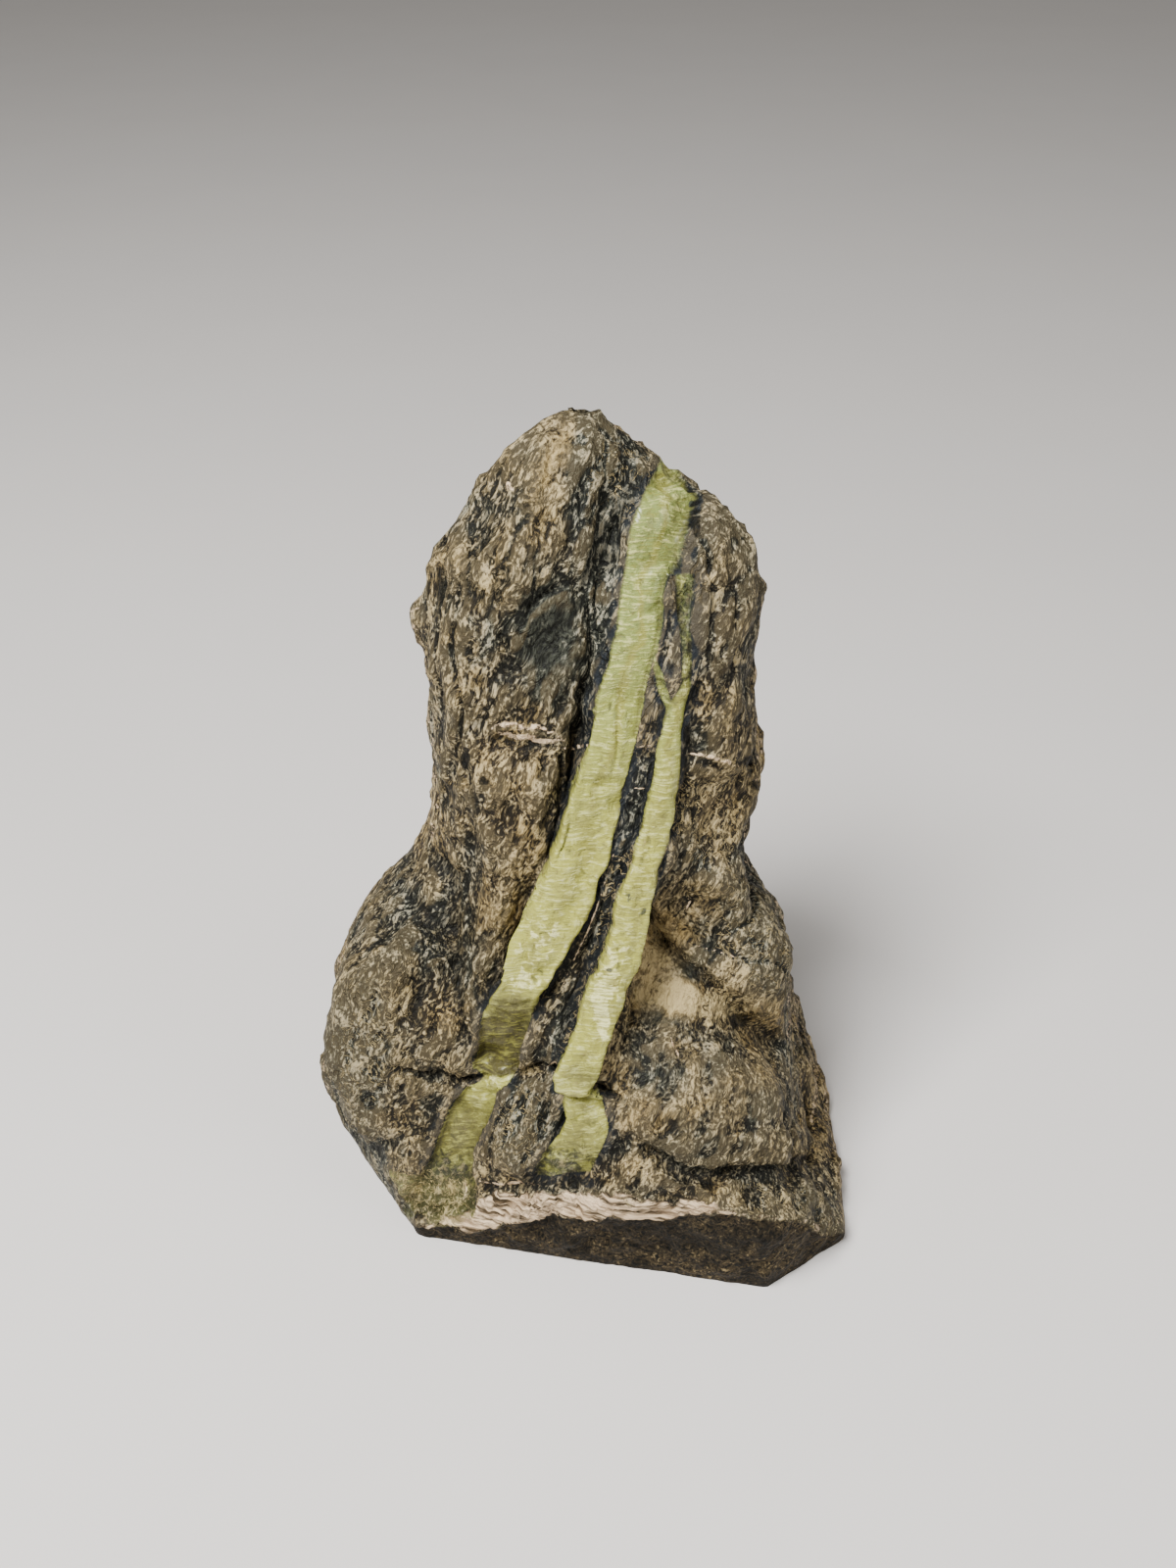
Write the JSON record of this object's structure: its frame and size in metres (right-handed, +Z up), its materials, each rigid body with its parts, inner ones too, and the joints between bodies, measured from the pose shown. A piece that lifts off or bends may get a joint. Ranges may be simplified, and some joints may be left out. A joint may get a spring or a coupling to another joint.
{
  "type": "raw serpentine stone",
  "caption": "Upright hand-sized piece of raw serpentine: a dark, rough stone with long pale green veins down its front, standing on its flat underside.",
  "frame": {"origin": "on the flat underside, at the middle of the stone's foot", "axes": "+Z up, the veined front faces -Y, +X to the right of someone facing the front"},
  "size_m": [0.0912, 0.0725, 0.134],
  "materials": {
    "stone": "rough broken rock, dark grey-green with tan weathering, and waxy pale green veins"
  },
  "bodies": {
    "root": {"stone": "stone"}
  },
  "joints": []
}
